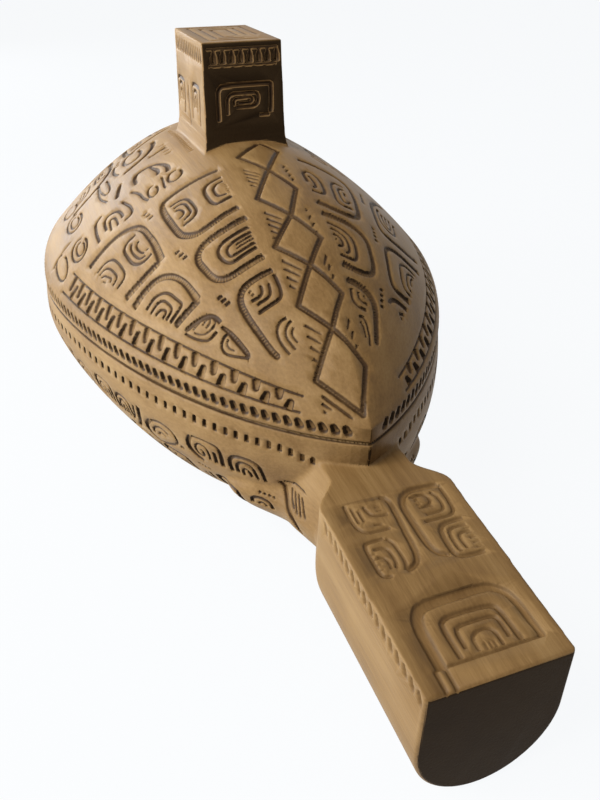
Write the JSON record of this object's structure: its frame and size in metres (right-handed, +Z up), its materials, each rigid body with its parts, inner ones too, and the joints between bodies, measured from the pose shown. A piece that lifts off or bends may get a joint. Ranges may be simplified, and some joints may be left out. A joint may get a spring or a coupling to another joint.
{
  "type": "lidded wooden bowl with handle",
  "caption": "Long pointed oval wooden bowl with a chunky flat-topped handle at its point and a domed, keeled lift-off lid with a square post knob, carved all over.",
  "frame": {"origin": "centre of the underside on the table, straight under the knob's axis", "axes": "+Z up; +Y from the handle towards the round rear; +X to the right of someone who holds the handle and looks along the bowl"},
  "size_m": [0.1862, 0.4074, 0.1705],
  "materials": {
    "carved_wood": "hand-carved hardwood, waxed to a low gloss, dark in the cuts"
  },
  "bodies": {
    "bowl": {"bowl": "carved_wood"},
    "lid": {"lid": "carved_wood"}
  },
  "joints": [
    {"name": "lid_lift", "type": "slide", "parent": "bowl", "child": "lid", "axis": [0, 0, 1], "range_m": [0, 0.12]}
  ]
}
